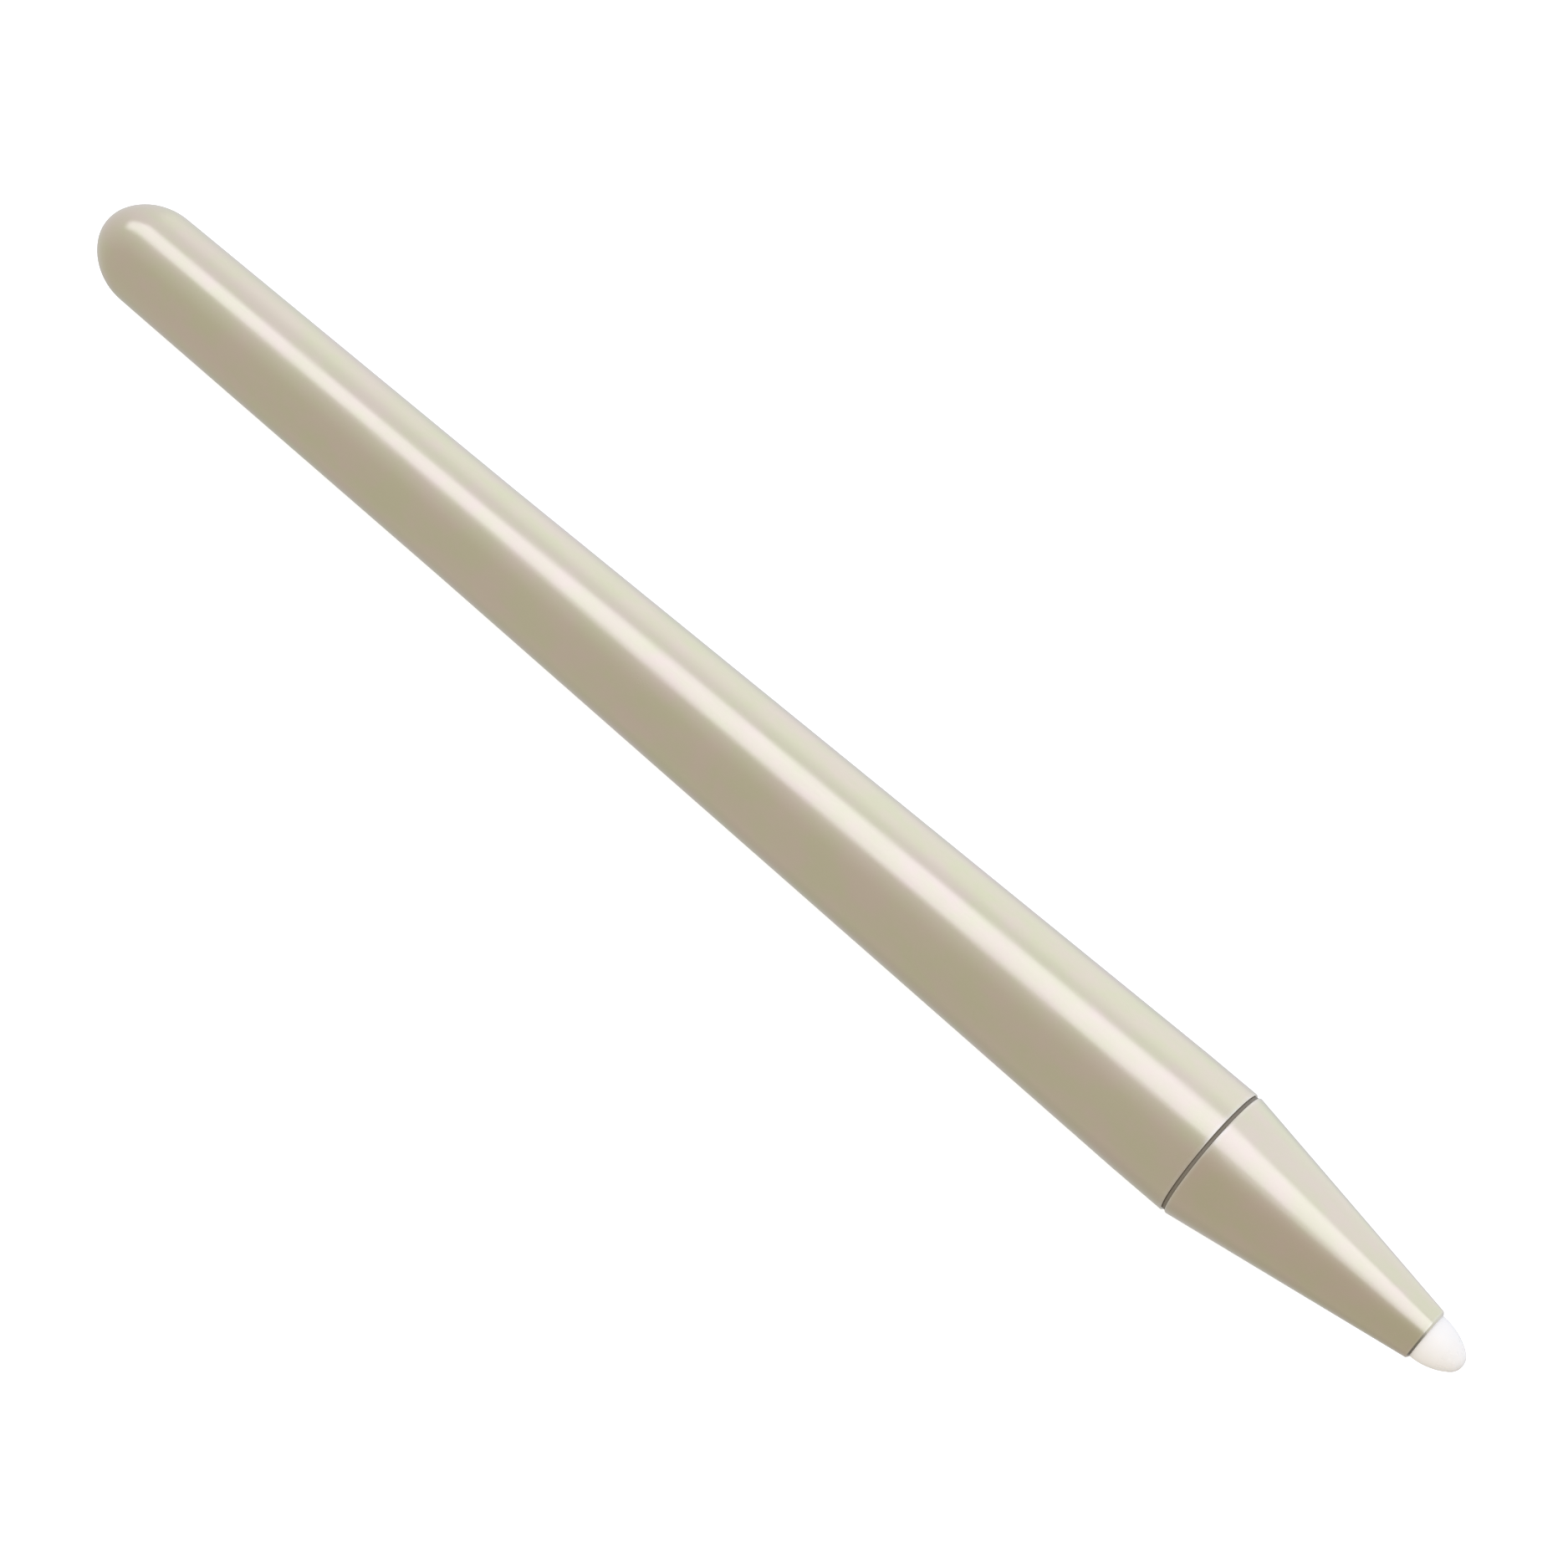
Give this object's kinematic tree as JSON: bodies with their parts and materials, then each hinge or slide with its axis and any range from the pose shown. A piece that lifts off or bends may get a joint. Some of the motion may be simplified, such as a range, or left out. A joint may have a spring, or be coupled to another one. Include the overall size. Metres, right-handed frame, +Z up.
{
  "type": "folding tool",
  "caption": "Pen-shaped paper folding and creasing tool: tapered metal barrel with a domed end, screw-on metal nose cone and a blunt white plastic tip.",
  "frame": {"origin": "on the table under the middle of the tool's length, where the tool lies on its dome and its grip", "axes": "+X from the domed end to the tip, +Z up from the table, Y across. The tool's own axis rises by 0.655 degrees towards the tip, because the grip is thicker than the dome"},
  "size_m": [0.1778, 0.014, 0.014],
  "materials": {
    "champagne_metal": "satin champagne anodised",
    "brass": "turned",
    "grey_rubber": "matt warm grey",
    "ivory_nylon": "moulded",
    "white_plastic": "smooth, slightly glossy"
  },
  "bodies": {
    "handle": {"barrel": "champagne_metal", "barrel_bush": "brass"},
    "seal": {"seam_washer": "grey_rubber"},
    "nose": {"nose_cone": "champagne_metal", "nose_core": "brass", "tip_sleeve": "ivory_nylon"},
    "folding_tip": {"tip": "white_plastic"}
  },
  "joints": [
    {"name": "nose_travel", "type": "slide", "parent": "handle", "child": "seal", "axis": [0.9999, 0, 0.0114], "range_m": [0, 0.006]},
    {"name": "nose_turn", "type": "hinge", "parent": "seal", "child": "nose", "pos_m": [0.0595, 0, 0.00702], "axis": [0.9999, 0, 0.0114], "range_deg": [0, 2160]},
    {"name": "tip_pull", "type": "slide", "parent": "nose", "child": "folding_tip", "axis": [0.9999, 0, 0.0114], "range_m": [0, 0.009]}
  ],
  "couplings": [
    {"joint": "nose_turn", "follows": "nose_travel", "rad_per_m": 6283.2}
  ]
}
